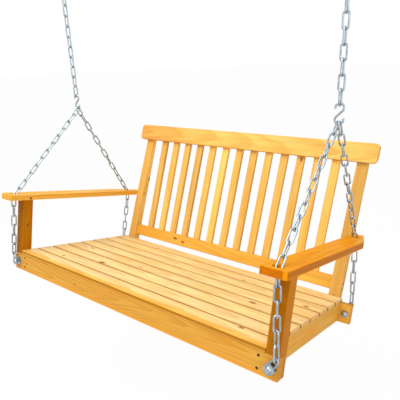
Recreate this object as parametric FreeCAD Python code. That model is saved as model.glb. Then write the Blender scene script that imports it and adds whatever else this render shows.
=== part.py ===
"""Porch swing seat: a slatted two-seat bench hung on chains from two ceiling hooks.

The seat is laid out square, with its origin at the middle of the front rail's lower front edge,
X along the rail, Y to the back and Z up. It is then tipped back about X to the angle at which it
hangs, with its own weight under the S-hooks, and placed below the ceiling. In the finished frame
+Z is up, Y points to the back, and the origin is on the ceiling midway between the two hooks.
"""
import FreeCAD, Part
import math
import os
from FreeCAD import Rotation, Vector

# Seat frame
RAIL_LENGTH = 1112.0
RAIL_HEIGHT = 64.0
RAIL_THICKNESS = 22.0
SIDE_RAIL_THICKNESS = 36.0
BEARER_THICKNESS = 36.0
BEARER_HEIGHT = 40.0
SEAT_DEPTH = 530.0

# Seat slats
SEAT_SLAT_COUNT = 8
SEAT_SLAT_THICKNESS = 12.0
SEAT_SLAT_GAP = 4.5
SEAT_SLAT_END_GAP = 0.5
SEAT_SLAT_OVERHANG = 2.0
SEAT_SLAT_REAR_GAP = 0.5

# Posts and arms
POST_WIDTH = 38.0
POST_DEPTH = 38.0
TENON_WIDTH = 22.0
TENON_DEPTH = 20.0
TENON_HEIGHT = 12.0
ARM_THICKNESS = 20.0
ARM_UNDERSIDE = 267.0
ARM_OVERHANG_FRONT = 60.0
ARM_OVERHANG_SIDE = 16.0
ARM_BEHIND_STILE_FACE = 18.0
ARM_FRONT_CORNER = 14.0
ARM_REAR_CORNER = 8.0
ARM_REAR_TAPER_LENGTH = 115.0
ARM_REAR_TAPER = 36.0
ARM_INNER_CORNER = 5.0

# Back rest
BACK_ANGLE = 10.0
STILE_WIDTH = 36.0
STILE_INSET = 53.0
STILE_DEPTH_LOW = 34.0
STILE_DEPTH_HIGH = 20.0
LOWER_BACK_RAIL_START = 29.0
LOWER_BACK_RAIL_HEIGHT = 46.0
LOWER_BACK_RAIL_THICKNESS = 22.0
LOWER_BACK_RAIL_SETBACK = 7.0
TOP_RAIL_START = 466.0
TOP_RAIL_HEIGHT = 66.0
TOP_RAIL_THICKNESS = 16.0
TOP_RAIL_OVERHANG = 32.0
TOP_RAIL_CORNER = 14.0
BACK_SLAT_COUNT = 13
BACK_SLAT_END_SPACE = 72.0
BACK_SLAT_WIDTH = 29.0
BACK_SLAT_THICKNESS = 12.0
BACK_SLAT_COVER = 7.0
MORTISE_DEPTH = 12.0
MORTISE_CLEARANCE = 0.2
TOP_MARGIN = 14.0

# Softened edges of the boards
EDGE_ROUND = 2.0
SLAT_EDGE_ROUND = 2.5

# Bolts that hold the lower chains
BOLT_DIAMETER = 8.0
BOLT_END_INSET = 18.0
BOLT_HEIGHT = 32.0
BOLT_HOLE_CLEARANCE = 0.3
BOLT_HEAD_DIAMETER = 16.0
BOLT_HEAD_HEIGHT = 5.0
BOLT_TAIL = 4.0
WASHER_DIAMETER = 28.0
PLAIN_WASHER_DIAMETER = 24.0
WASHER_THICKNESS = 2.0
NUT_ACROSS_FLATS = 13.0
NUT_HEIGHT = 6.5

# Wood screws
SCREW_DIAMETER = 4.0
SCREW_HEAD_DIAMETER = 8.0
SCREW_HEAD_HEIGHT = 3.0
SCREW_SINK = 1.5
SCREW_HOLE_CLEARANCE = 0.15
SCREW_EDGE_DISTANCE = 15.0
RAIL_SCREW_LENGTH = 55.0
LOWER_RAIL_SCREW_BITE = 30.0
ARM_SCREW_BITE = 15.0
FOOT_SCREW_BITE = 11.0
TOP_SCREW_BITE = 6.0
SCREW_SLOT = 1.0

# Chains, S-hooks and ceiling hooks
LINK_WIRE = 5.0
LINK_WIDTH = 20.0
LINK_PITCH = 35.5
LINK_CLEARANCE = 0.95
FRONT_LINK_LEAN = 29.0
REAR_LINK_LEAN = 14.0
SECOND_LINK_TURN = 75.0
CHAIN_HOLE_DIAMETER = 30.0
CHAIN_LINE_INSET = 29.0
FRONT_HOLE_INSET = 21.0
FRONT_CHAIN_SETOUT = 30.0
REAR_CHAIN_SETBACK = 531.0
HOOK_POINT_BACK = 227.5
HOOK_POINT_HEIGHT = 619.0
UPPER_CHAIN_LINKS = 15
S_HOOK_WIRE = 6.0
S_HOOK_RADIUS = 11.0
S_HOOK_SPAN = 52.0
S_HOOK_TIP_ANGLE = 20.0
HOOK_CLEARANCE = 0.6
CEILING_HOOK_WIRE = 8.0
CEILING_HOOK_RADIUS = 15.0
CEILING_HOOK_NECK = 10.0
CEILING_HOOK_MOUTH = 50.0
CEILING_SCREW_DIAMETER = 9.0
CEILING_SCREW_LENGTH = 45.0
COLLAR_DIAMETER = 24.0
COLLAR_THICKNESS = 3.0

# Weights, kilograms per cubic millimetre
WOOD_DENSITY = 0.6e-6
STEEL_DENSITY = 7.85e-6

# How far from a face an edge may lie to be picked with it
PICK_MARGIN = 1.0

X_AXIS = Vector(1, 0, 0)
Y_AXIS = Vector(0, 1, 0)
Z_AXIS = Vector(0, 0, 1)
SIDES = (("left", -1), ("right", 1))

# Places worked out from the sizes above
half_rail = RAIL_LENGTH / 2
post_inner = half_rail - POST_WIDTH
rear_rail_front = SEAT_DEPTH - RAIL_THICKNESS
slat_half = post_inner - SEAT_SLAT_END_GAP
slat_span = SEAT_DEPTH - SEAT_SLAT_REAR_GAP + SEAT_SLAT_OVERHANG
slat_width = (slat_span - (SEAT_SLAT_COUNT - 1) * SEAT_SLAT_GAP) / SEAT_SLAT_COUNT
chain_line = half_rail - CHAIN_LINE_INSET
arm_outer = half_rail + ARM_OVERHANG_SIDE
arm_top = ARM_UNDERSIDE + ARM_THICKNESS
stile_outer = half_rail - STILE_INSET
stile_inner = stile_outer - STILE_WIDTH
arm_inner = stile_outer
stile_middle = (stile_outer + stile_inner) / 2
back_slat_pitch = 2 * (stile_inner - BACK_SLAT_END_SPACE) / (BACK_SLAT_COUNT - 1)
lower_rail_top = LOWER_BACK_RAIL_START + LOWER_BACK_RAIL_HEIGHT
top_rail_end = TOP_RAIL_START + TOP_RAIL_HEIGHT
back_top = top_rail_end - TOP_MARGIN
slat_foot_depth = LOWER_BACK_RAIL_SETBACK + BACK_SLAT_COVER
back_lean = math.radians(BACK_ANGLE)
bolt_x = half_rail - BOLT_END_INSET
front_hole = Vector(half_rail - FRONT_HOLE_INSET, -FRONT_CHAIN_SETOUT, ARM_UNDERSIDE)
rear_hole = Vector(chain_line, REAR_CHAIN_SETBACK, ARM_UNDERSIDE)
link_step = LINK_WIRE + LINK_CLEARANCE
clamp_room = LINK_WIRE + LINK_CLEARANCE
standoff = WASHER_THICKNESS + NUT_HEIGHT


def box(x0, x1, y0, y1, z0, z1):
    """Block between two corners."""
    return Part.makeBox(x1 - x0, y1 - y0, z1 - z0, Vector(x0, y0, z0))


def edges_along(shape, axis, pick=None):
    """Straight edges that run along an axis and whose middle the pick accepts."""
    found = []
    for edge in shape.Edges:
        if not isinstance(edge.Curve, Part.Line):
            continue
        if abs(abs(edge.tangentAt(edge.FirstParameter).dot(axis)) - 1) > 1e-6:
            continue
        if pick is None or pick(edge.CenterOfMass):
            found.append(edge)
    return found


def rounded(shape, radius, axis, pick=None):
    """The shape with those edges rounded."""
    return shape.makeFillet(radius, edges_along(shape, axis, pick))


def mirrored(shape, side):
    """The right-hand shape, or its mirror image for the left."""
    if side > 0:
        return shape
    return shape.mirror(Vector(0, 0, 0), X_AXIS)


def cylinder(start, direction, length, diameter):
    """Round bar from a point along a direction."""
    return Part.makeCylinder(diameter / 2, length, start, direction)


def screw(head_top, direction, length):
    """Countersunk wood screw, driven along a direction from the top of its head."""
    cone = Part.makeCone(SCREW_HEAD_DIAMETER / 2, SCREW_DIAMETER / 2, SCREW_HEAD_HEIGHT, head_top, direction)
    shank = cylinder(head_top, direction, length, SCREW_DIAMETER)
    slot = Part.makeBox(SCREW_DIAMETER, SCREW_SLOT, SCREW_SLOT)
    slot.translate(Vector(-SCREW_DIAMETER / 2, -SCREW_SLOT / 2, 0))
    slot.Placement = FreeCAD.Placement(head_top, Rotation(Z_AXIS, direction)).multiply(slot.Placement)
    return cone.fuse(shank).cut(slot).removeSplitter()


def screw_hole(head_top, direction, length):
    """Room for a screw, open above its sunken head."""
    room = 2 * SCREW_HOLE_CLEARANCE
    mouth_start = head_top - direction * (2 * SCREW_SINK)
    mouth = cylinder(mouth_start, direction, 2 * SCREW_SINK, SCREW_HEAD_DIAMETER + room)
    cone = Part.makeCone((SCREW_HEAD_DIAMETER + room) / 2, (SCREW_DIAMETER + room) / 2, SCREW_HEAD_HEIGHT,
                         head_top, direction)
    shank = cylinder(head_top, direction, length + SCREW_HOLE_CLEARANCE, SCREW_DIAMETER + room)
    return mouth.multiFuse([cone, shank])


def hex_nut(base, direction):
    """Hexagon nut that sits on a base point."""
    corner = NUT_ACROSS_FLATS / math.sqrt(3)
    points = [Vector(corner * math.cos(math.radians(60 * i)), corner * math.sin(math.radians(60 * i)), 0)
              for i in range(7)]
    body = Part.Face(Part.makePolygon(points)).extrude(Z_AXIS * NUT_HEIGHT)
    body.Placement = FreeCAD.Placement(base, Rotation(Z_AXIS, direction))
    return body.cut(cylinder(base, direction, NUT_HEIGHT, BOLT_DIAMETER + 2 * BOLT_HOLE_CLEARANCE))


def washer(base, direction, diameter=WASHER_DIAMETER):
    """Flat washer that sits on a base point."""
    plate = cylinder(base, direction, WASHER_THICKNESS, diameter)
    return plate.cut(cylinder(base, direction, WASHER_THICKNESS, BOLT_DIAMETER + 2 * BOLT_HOLE_CLEARANCE))


def domed_bolt(seat, direction, length):
    """Bolt whose domed head sits on a seat point and whose shank runs along a direction."""
    radius = BOLT_HEAD_DIAMETER / 2
    shank = BOLT_DIAMETER / 2
    ball_radius = (radius ** 2 + BOLT_HEAD_HEIGHT ** 2) / (2 * BOLT_HEAD_HEIGHT)
    half_turn = math.asin(radius / ball_radius) / 2
    crown = Vector(ball_radius * math.sin(half_turn), 0,
                   ball_radius - BOLT_HEAD_HEIGHT - ball_radius * math.cos(half_turn))
    pole = Vector(0, 0, -BOLT_HEAD_HEIGHT)
    rim = Vector(radius, 0, 0)
    dome = Part.Arc(pole, crown, rim).toShape()
    rest = Part.makePolygon([rim, Vector(shank, 0, 0), Vector(shank, 0, length), Vector(0, 0, length), pole])
    body = Part.Face(Part.Wire([dome] + rest.Edges)).revolve(Vector(0, 0, 0), Z_AXIS, 360)
    body.Placement = FreeCAD.Placement(seat, Rotation(Z_AXIS, direction))
    return body


def chain_link(pitch):
    """Long welded link, upright in the XZ plane and centred on the origin."""
    bend = (LINK_WIDTH - LINK_WIRE) / 2
    half_straight = (pitch + link_step) / 2 - bend
    wire = LINK_WIRE / 2
    top = Part.makeTorus(bend, wire, Vector(0, 0, 0), Z_AXIS, 0, 360, 180)
    top.rotate(Vector(0, 0, 0), X_AXIS, 90)
    low = top.mirror(Vector(0, 0, 0), Z_AXIS)
    top.translate(Z_AXIS * half_straight)
    low.translate(Z_AXIS * -half_straight)
    legs = [cylinder(Vector(side * bend, 0, -half_straight), Z_AXIS, 2 * half_straight, LINK_WIRE)
            for side in (-1, 1)]
    return top.multiFuse([low] + legs).removeSplitter()


def chain_run(start, end, count, first_turn, last_turn):
    """Links from one contact point to another, each turned a quarter from the last.

    Where the count doesn't bring the last link to its turn, every link drifts a little.
    """
    direction = (end - start).normalize()
    pitch = start.distanceToPoint(end) / count
    link = chain_link(pitch)
    across = (X_AXIS - direction * X_AXIS.dot(direction)).normalize()
    behind = direction.cross(across)
    drift = 0.0
    if count > 1:
        off = (last_turn - first_turn - 90 * (count - 1) + 90) % 180 - 90
        drift = off / (count - 1)
    links = []
    for index in range(count):
        turn = math.radians(first_turn + (90 + drift) * index)
        width_way = across * math.cos(turn) + behind * math.sin(turn)
        copy = link.copy()
        middle = start + direction * (pitch * (index + 0.5))
        turned = Rotation(width_way, direction.cross(width_way), direction, "ZXY")
        copy.Placement = FreeCAD.Placement(middle, turned)
        links.append(copy)
    return links


def round_bar(path, start, tangent, diameter):
    """Solid round bar along a smooth path."""
    section = Part.Wire(Part.makeCircle(diameter / 2, start, tangent))
    return Part.Wire(path).makePipeShell([section], True, False)


def arc_point(centre, radius, angle):
    """Point of an upright circle in the XZ plane."""
    turn = math.radians(angle)
    return centre + Vector(radius * math.cos(turn), 0, radius * math.sin(turn))


def arc_edge(centre, radius, start_angle, end_angle):
    """Arc of an upright circle in the XZ plane."""
    middle = (start_angle + end_angle) / 2
    return Part.Arc(arc_point(centre, radius, start_angle), arc_point(centre, radius, middle),
                    arc_point(centre, radius, end_angle)).toShape()


def front_rail():
    """Front rail, with holes for the chain bolts and for the screws into the side rails."""
    rail = rounded(box(-half_rail, half_rail, 0, RAIL_THICKNESS, 0, RAIL_HEIGHT), EDGE_ROUND, X_AXIS,
                   lambda p: p.z < RAIL_HEIGHT / 2)
    return rail.cut(Part.makeCompound(bolt_holes(0, RAIL_THICKNESS) + rail_screw_holes(0, Y_AXIS)))


def rear_rail():
    """Rear rail, the same board as the front one, behind the side rails."""
    rail = box(-half_rail, half_rail, rear_rail_front, SEAT_DEPTH, 0, RAIL_HEIGHT)
    rail = rounded(rail, EDGE_ROUND, X_AXIS, lambda p: p.z < RAIL_HEIGHT / 2)
    holes = bolt_holes(rear_rail_front, SEAT_DEPTH) + rail_screw_holes(SEAT_DEPTH, -Y_AXIS)
    holes += [screw_hole(*place) for place in stile_foot_screws()]
    return rail.cut(Part.makeCompound(holes))


def bolt_holes(y0, y1):
    """Holes for the two chain bolts through whatever stands between two depths."""
    diameter = BOLT_DIAMETER + 2 * BOLT_HOLE_CLEARANCE
    return [cylinder(Vector(side * bolt_x, y0, BOLT_HEIGHT), Y_AXIS, y1 - y0, diameter) for _, side in SIDES]


def rail_screw_places(face_y, direction):
    """Screws through a rail into the ends of the side rails."""
    heights = (SCREW_EDGE_DISTANCE, RAIL_HEIGHT - SCREW_EDGE_DISTANCE)
    side_rail_middle = post_inner - SIDE_RAIL_THICKNESS / 2
    sunk_y = face_y + direction.y * SCREW_SINK
    return [(Vector(side * side_rail_middle, sunk_y, z), direction, RAIL_SCREW_LENGTH)
            for _, side in SIDES for z in heights]


def rail_screw_holes(face_y, direction):
    """Holes for those screws."""
    return [screw_hole(*place) for place in rail_screw_places(face_y, direction)]


def side_rail(side):
    """Side rail under the ends of the seat slats."""
    rail = box(post_inner - SIDE_RAIL_THICKNESS, post_inner, RAIL_THICKNESS, rear_rail_front, 0, RAIL_HEIGHT)
    rail = rounded(rail, EDGE_ROUND, Y_AXIS, lambda p: p.z < RAIL_HEIGHT / 2)
    holes = rail_screw_holes(0, Y_AXIS) + rail_screw_holes(SEAT_DEPTH, -Y_AXIS)
    return mirrored(rail, side).cut(Part.makeCompound(holes))


def centre_bearer():
    """Bearer under the middle of the seat slats."""
    half = BEARER_THICKNESS / 2
    return box(-half, half, RAIL_THICKNESS, rear_rail_front, RAIL_HEIGHT - BEARER_HEIGHT, RAIL_HEIGHT)


def seat_slat(index):
    """One seat slat, its long edges softened."""
    y0 = index * (slat_width + SEAT_SLAT_GAP) - SEAT_SLAT_OVERHANG
    slat = box(-slat_half, slat_half, y0, y0 + slat_width, RAIL_HEIGHT, RAIL_HEIGHT + SEAT_SLAT_THICKNESS)
    return rounded(slat, SLAT_EDGE_ROUND, X_AXIS, lambda p: p.z > RAIL_HEIGHT + SLAT_EDGE_ROUND)


def tenon(clearance):
    """Tenon on the post's top, or its mortise in the arm with a clearance."""
    x = half_rail - POST_WIDTH / 2
    y = POST_DEPTH / 2
    half_x = TENON_WIDTH / 2 + clearance
    half_y = TENON_DEPTH / 2 + clearance
    return box(x - half_x, x + half_x, y - half_y, y + half_y, ARM_UNDERSIDE, ARM_UNDERSIDE + TENON_HEIGHT)


def arm_post(side):
    """Post under the front of an arm, notched over the front rail."""
    post = box(post_inner, half_rail, 0, POST_DEPTH, 0, ARM_UNDERSIDE)
    post = rounded(post, EDGE_ROUND, Z_AXIS, lambda p: p.x > half_rail - PICK_MARGIN)
    post = post.cut(box(post_inner, half_rail, 0, RAIL_THICKNESS, 0, RAIL_HEIGHT))
    post = post.fuse(tenon(0)).removeSplitter()
    holes = bolt_holes(0, POST_DEPTH) + [screw_hole(*arm_pin_screw())]
    return mirrored(post.cut(Part.makeCompound(holes)), side)


def arm_pin_screw():
    """Screw through the arm's inner edge into the post's tenon."""
    place = Vector(arm_inner + SCREW_SINK, POST_DEPTH / 2, ARM_UNDERSIDE + TENON_HEIGHT / 2)
    return place, X_AXIS, half_rail - POST_WIDTH / 2 - arm_inner


def stile_face(z):
    """Depth of the stiles' front plane at a height."""
    return SEAT_DEPTH + (z - RAIL_HEIGHT) * math.tan(back_lean)


def arm_stile_screw():
    """Screw from the stile's inner side into the end of the arm."""
    z = ARM_UNDERSIDE + ARM_THICKNESS / 2
    y = stile_face(z) + ARM_BEHIND_STILE_FACE / 2
    return Vector(stile_inner + SCREW_SINK, y, z), X_AXIS, STILE_WIDTH + ARM_SCREW_BITE


def stile_block():
    """A right-hand stile without its holes, from its side profile."""
    lean = Vector(0, math.sin(back_lean), math.cos(back_lean))
    back = Vector(0, math.cos(back_lean), -math.sin(back_lean))
    foot = Vector(0, SEAT_DEPTH, RAIL_HEIGHT)
    top = foot + lean * back_top
    low_back = foot + back * STILE_DEPTH_LOW
    outline = [Vector(0, SEAT_DEPTH, 0), foot, top, top + back * STILE_DEPTH_HIGH, low_back,
               Vector(0, low_back.y, 0)]
    face = Part.Face(Part.makePolygon(outline + outline[:1]))
    face.translate(Vector(stile_inner, 0, 0))
    return face.extrude(X_AXIS * STILE_WIDTH)


def arm(side):
    """Flat arm against the stile's outer side, tapered behind, with a hole for each lower chain."""
    rear = stile_face(ARM_UNDERSIDE + ARM_THICKNESS / 2) + ARM_BEHIND_STILE_FACE
    front = -ARM_OVERHANG_FRONT
    corners = ((arm_inner, front), (arm_outer, front), (arm_outer, rear - ARM_REAR_TAPER_LENGTH),
               (arm_outer - ARM_REAR_TAPER, rear), (arm_inner, rear))
    outline = [Vector(x, y, ARM_UNDERSIDE) for x, y in corners]
    board = Part.Face(Part.makePolygon(outline + outline[:1])).extrude(Z_AXIS * ARM_THICKNESS)
    for radius, (x, y) in zip((ARM_INNER_CORNER, ARM_FRONT_CORNER, 0, ARM_REAR_CORNER, 0), corners):
        if radius:
            board = rounded(board, radius, Z_AXIS, lambda p: math.hypot(p.x - x, p.y - y) < PICK_MARGIN)
    top_face = max(board.Faces, key=lambda f: f.CenterOfMass.z)
    board = board.makeFillet(EDGE_ROUND, top_face.Edges)
    cuts = [tenon(MORTISE_CLEARANCE), screw_hole(*arm_pin_screw()), screw_hole(*arm_stile_screw())]
    cuts += [cylinder(hole, Z_AXIS, ARM_THICKNESS, CHAIN_HOLE_DIAMETER) for hole in (front_hole, rear_hole)]
    return mirrored(board.cut(Part.makeCompound(cuts)), side)


def in_back_frame(shape):
    """Places a shape drawn with Y behind the stiles' front plane and Z up along it."""
    shape.rotate(Vector(0, 0, 0), X_AXIS, -BACK_ANGLE)
    shape.translate(Vector(0, SEAT_DEPTH, RAIL_HEIGHT))
    return shape


def back_place(x, depth, height):
    """Point at a depth behind the stiles' front plane and a height along it."""
    point = Rotation(X_AXIS, -BACK_ANGLE).multVec(Vector(x, depth, height))
    return point + Vector(0, SEAT_DEPTH, RAIL_HEIGHT)


def back_way(depth, height):
    """Direction given behind and along the stiles' front plane."""
    return Rotation(X_AXIS, -BACK_ANGLE).multVec(Vector(0, depth, height))


def stile_foot_screws():
    """Screws from behind through the stiles' feet into the rear rail."""
    heights = (SCREW_EDGE_DISTANCE, RAIL_HEIGHT - SCREW_EDGE_DISTANCE)
    y = SEAT_DEPTH + STILE_DEPTH_LOW * math.cos(back_lean) - SCREW_SINK
    length = STILE_DEPTH_LOW + FOOT_SCREW_BITE
    return [(Vector(side * stile_middle, y, z), -Y_AXIS, length) for _, side in SIDES for z in heights]


def stile_depth(height):
    """Depth of a stile at a height along it."""
    share = height / back_top
    return STILE_DEPTH_LOW + (STILE_DEPTH_HIGH - STILE_DEPTH_LOW) * share


def stile_top_screws():
    """Screws from behind through the stiles into the top rail."""
    places = []
    for _, side in SIDES:
        for height in (TOP_RAIL_START + SCREW_EDGE_DISTANCE, back_top - SCREW_EDGE_DISTANCE):
            start = back_place(side * stile_middle, stile_depth(height) - SCREW_SINK, height)
            places.append((start, back_way(-1, 0), stile_depth(height) + TOP_SCREW_BITE))
    return places


def back_slat_x(index):
    """Middle of a back slat."""
    return (index - (BACK_SLAT_COUNT - 1) / 2) * back_slat_pitch


def back_slat_screws():
    """Screws from behind through the back slats into the top rail."""
    height = (TOP_RAIL_START + back_top) / 2
    return [(back_place(back_slat_x(i), BACK_SLAT_THICKNESS - SCREW_SINK, height), back_way(-1, 0),
             BACK_SLAT_THICKNESS + TOP_SCREW_BITE) for i in range(BACK_SLAT_COUNT)]


def lower_rail_screws():
    """Screws through the stiles' outer sides into the lower back rail."""
    depth = LOWER_BACK_RAIL_SETBACK + LOWER_BACK_RAIL_THICKNESS / 2
    places = []
    for _, side in SIDES:
        for height in (LOWER_BACK_RAIL_START + SCREW_EDGE_DISTANCE / 2, lower_rail_top - MORTISE_DEPTH
                       - SCREW_EDGE_DISTANCE / 2):
            start = back_place(side * (stile_outer - SCREW_SINK), depth, height)
            places.append((start, X_AXIS * -side, STILE_WIDTH + LOWER_RAIL_SCREW_BITE))
    return places


def back_stile(side):
    """Tapered stile behind the seat, cut flat where it stands against the rear rail."""
    stile = stile_block()
    holes = [screw_hole(*place) for place in stile_foot_screws() + stile_top_screws() + lower_rail_screws()]
    if side < 0:
        stile = mirrored(stile, side)
    pin = mirrored(screw_hole(*arm_stile_screw()), side)
    return stile.cut(Part.makeCompound(holes + [pin]))


def lower_back_rail():
    """Rail between the stiles, with a mortise for each back slat."""
    front = LOWER_BACK_RAIL_SETBACK
    rail = box(-stile_inner, stile_inner, front, front + LOWER_BACK_RAIL_THICKNESS, LOWER_BACK_RAIL_START,
               lower_rail_top)
    rail = rounded(rail, EDGE_ROUND, X_AXIS, lambda p: p.y < front + PICK_MARGIN)
    cuts = []
    half = BACK_SLAT_WIDTH / 2 + MORTISE_CLEARANCE
    for index in range(BACK_SLAT_COUNT):
        x = back_slat_x(index)
        cuts.append(box(x - half, x + half, slat_foot_depth - MORTISE_CLEARANCE,
                        slat_foot_depth + BACK_SLAT_THICKNESS + MORTISE_CLEARANCE,
                        lower_rail_top - MORTISE_DEPTH, lower_rail_top))
    rail = in_back_frame(rail.cut(Part.makeCompound(cuts)))
    return rail.cut(Part.makeCompound([screw_hole(*place) for place in lower_rail_screws()]))


def top_back_rail():
    """Wide top rail with rounded corners, in front of the stiles and slats."""
    half = stile_outer + TOP_RAIL_OVERHANG
    rail = box(-half, half, -TOP_RAIL_THICKNESS, 0, TOP_RAIL_START, top_rail_end)
    rail = rounded(rail, TOP_RAIL_CORNER, Y_AXIS)
    front_face = min(rail.Faces, key=lambda f: f.CenterOfMass.y)
    rail = in_back_frame(rail.makeFillet(EDGE_ROUND, front_face.Edges))
    places = stile_top_screws() + back_slat_screws()
    return rail.cut(Part.makeCompound([screw_hole(*place) for place in places]))


def back_slat(index):
    """One back slat, from its mortise in the lower rail up behind the top rail."""
    foot = slat_foot_depth
    thick = BACK_SLAT_THICKNESS
    low = lower_rail_top - MORTISE_DEPTH
    outline = [(foot, low), (foot, lower_rail_top), (0, TOP_RAIL_START), (0, back_top), (thick, back_top),
               (thick, TOP_RAIL_START), (foot + thick, lower_rail_top), (foot + thick, low)]
    points = [Vector(0, depth, height) for depth, height in outline]
    slat = Part.Face(Part.makePolygon(points + points[:1])).extrude(X_AXIS * BACK_SLAT_WIDTH)
    slat.translate(Vector(back_slat_x(index) - BACK_SLAT_WIDTH / 2, 0, 0))
    return in_back_frame(slat).cut(screw_hole(*back_slat_screws()[index]))


def chain_bolts():
    """Bolts that hold the lower chains: in front through rail and post, behind through the rail."""
    solids = []
    outer = standoff + clamp_room + WASHER_THICKNESS
    for _, side in SIDES:
        x = side * bolt_x
        front_length = outer + POST_DEPTH + standoff + BOLT_TAIL
        solids.append(domed_bolt(Vector(x, -outer, BOLT_HEIGHT), Y_AXIS, front_length))
        rear_seat = rear_rail_front - WASHER_THICKNESS
        rear_length = WASHER_THICKNESS + RAIL_THICKNESS + outer + NUT_HEIGHT + BOLT_TAIL
        solids.append(domed_bolt(Vector(x, rear_seat, BOLT_HEIGHT), Y_AXIS, rear_length))
    return Part.makeCompound(solids)


def bolt_stacks():
    """Washers and nuts on the bolts, as two lists."""
    washers = []
    nuts = []
    for _, side in SIDES:
        def at(y):
            return Vector(side * bolt_x, y, BOLT_HEIGHT)
        washers.append(washer(at(0), -Y_AXIS))
        nuts.append(hex_nut(at(-WASHER_THICKNESS), -Y_AXIS))
        washers.append(washer(at(-standoff - clamp_room), -Y_AXIS))
        washers.append(washer(at(POST_DEPTH), Y_AXIS, PLAIN_WASHER_DIAMETER))
        nuts.append(hex_nut(at(POST_DEPTH + WASHER_THICKNESS), Y_AXIS))
        washers.append(washer(at(rear_rail_front), -Y_AXIS, PLAIN_WASHER_DIAMETER))
        washers.append(washer(at(SEAT_DEPTH), Y_AXIS))
        nuts.append(hex_nut(at(SEAT_DEPTH + WASHER_THICKNESS), Y_AXIS))
        washers.append(washer(at(SEAT_DEPTH + standoff + clamp_room), Y_AXIS))
        nuts.append(hex_nut(at(SEAT_DEPTH + standoff + clamp_room + WASHER_THICKNESS), Y_AXIS))
    return washers, nuts


def screws(places):
    """A group of screws."""
    return Part.makeCompound([screw(*place) for place in places])


def both_sides(place):
    """A right-hand screw place and its mirror image."""
    start, direction, length = place
    flipped = [Vector(-way.x, way.y, way.z) for way in (start, direction)]
    return [place, (*flipped, length)]


def hook_point():
    """Middle of the S-hook's lower wire, on the right."""
    return Vector(chain_line, HOOK_POINT_BACK, HOOK_POINT_HEIGHT)


def lower_chain(side, clamp_y, link_lean, arm_hole, hook_side):
    """Chain from a bolt up through a hole in the arm to the S-hook, for the right and mirrored."""
    lean = math.radians(link_lean)
    clamp_way = Vector(math.sin(lean), 0, math.cos(lean))
    bolt = Vector(bolt_x, clamp_y, BOLT_HEIGHT)
    grip = BOLT_DIAMETER / 2 + LINK_CLEARANCE + LINK_WIRE / 2 - link_step / 2
    first = bolt - clamp_way * grip
    second = first + clamp_way * LINK_PITCH
    hole = arm_hole + Z_AXIS * (ARM_THICKNESS / 2)
    middle_gap = LINK_WIRE + HOOK_CLEARANCE
    hook = hook_point() + X_AXIS * (hook_side * middle_gap / 2)
    upward = (hook - hole).normalize()
    reach = S_HOOK_WIRE / 2 + LINK_WIRE / 2 + HOOK_CLEARANCE + hook_sag(middle_gap / 2) - link_step / 2
    last = hook + upward * reach
    lower_count = max(1, round(second.distanceToPoint(hole) / LINK_PITCH))
    upper_count = max(1, round(hole.distanceToPoint(last) / LINK_PITCH))
    links = chain_run(first, second, 1, 0, 0)
    links += chain_run(second, hole, lower_count, SECOND_LINK_TURN, 90)
    links += chain_run(hole, last, upper_count, 0, 90)
    return mirrored(Part.makeCompound(links), side)


def hook_sag(offset):
    """Rise of the S-hook's curved lower wire at an offset from its middle."""
    return S_HOOK_RADIUS - math.sqrt(S_HOOK_RADIUS ** 2 - offset ** 2)


def s_hook():
    """S-hook in the XZ plane, with the middle of its lower wire at the origin."""
    reach = S_HOOK_SPAN / 2 - S_HOOK_RADIUS
    cross = math.degrees(math.asin(S_HOOK_RADIUS / reach))
    low = Vector(0, 0, S_HOOK_RADIUS)
    high = Vector(0, 0, S_HOOK_SPAN - S_HOOK_RADIUS)
    tip = 180 + S_HOOK_TIP_ANGLE
    top_arc = arc_edge(high, S_HOOK_RADIUS, tip, cross - 90)
    spine_top = arc_point(high, S_HOOK_RADIUS, cross - 90)
    spine_low = arc_point(low, S_HOOK_RADIUS, 90 + cross)
    spine = Part.LineSegment(spine_top, spine_low).toShape()
    low_arc = arc_edge(low, S_HOOK_RADIUS, 90 + cross, 360 + S_HOOK_TIP_ANGLE)
    start = arc_point(high, S_HOOK_RADIUS, tip)
    turn = math.radians(tip)
    tangent = Vector(math.sin(turn), 0, -math.cos(turn))
    return round_bar([top_arc, spine, low_arc], start, tangent, S_HOOK_WIRE)


def ceiling_hook():
    """Screw hook with a collar, its screw above the ceiling, centred on its own line."""
    centre = Vector(0, 0, ceiling_hook_low() + CEILING_HOOK_RADIUS)
    ring = arc_edge(centre, CEILING_HOOK_RADIUS, 90, 90 + CEILING_HOOK_MOUTH - 360)
    start = arc_point(centre, CEILING_HOOK_RADIUS, 90)
    bar = round_bar([ring], start, X_AXIS, CEILING_HOOK_WIRE)
    shank_low = Vector(0, 0, centre.z + CEILING_HOOK_RADIUS)
    neck = cylinder(shank_low, Z_AXIS, -shank_low.z, CEILING_HOOK_WIRE)
    knee = Part.makeSphere(CEILING_HOOK_WIRE / 2, shank_low)
    collar = cylinder(Vector(0, 0, -COLLAR_THICKNESS), Z_AXIS, COLLAR_THICKNESS, COLLAR_DIAMETER)
    screw_part = cylinder(Vector(0, 0, 0), Z_AXIS, CEILING_SCREW_LENGTH, CEILING_SCREW_DIAMETER)
    return bar.multiFuse([neck, knee, collar, screw_part]).removeSplitter()


def ceiling_hook_low():
    """Height of the middle of the ceiling hook's lower wire."""
    return -COLLAR_THICKNESS - CEILING_HOOK_NECK - 2 * CEILING_HOOK_RADIUS


def upper_chain_points():
    """Heights of the contact points at the top link's ends and at the hanger's foot, and of the S-hook."""
    bite = CEILING_HOOK_WIRE / 2 + LINK_WIRE / 2 + HOOK_CLEARANCE
    top = ceiling_hook_low() + bite - link_step / 2
    top_link_foot = top - LINK_PITCH
    foot = top - LINK_PITCH * UPPER_CHAIN_LINKS
    last_wire = foot - link_step / 2
    s_hook_top = last_wire + S_HOOK_WIRE / 2 + LINK_WIRE / 2 + HOOK_CLEARANCE
    return top, top_link_foot, foot, s_hook_top - S_HOOK_SPAN


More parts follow.
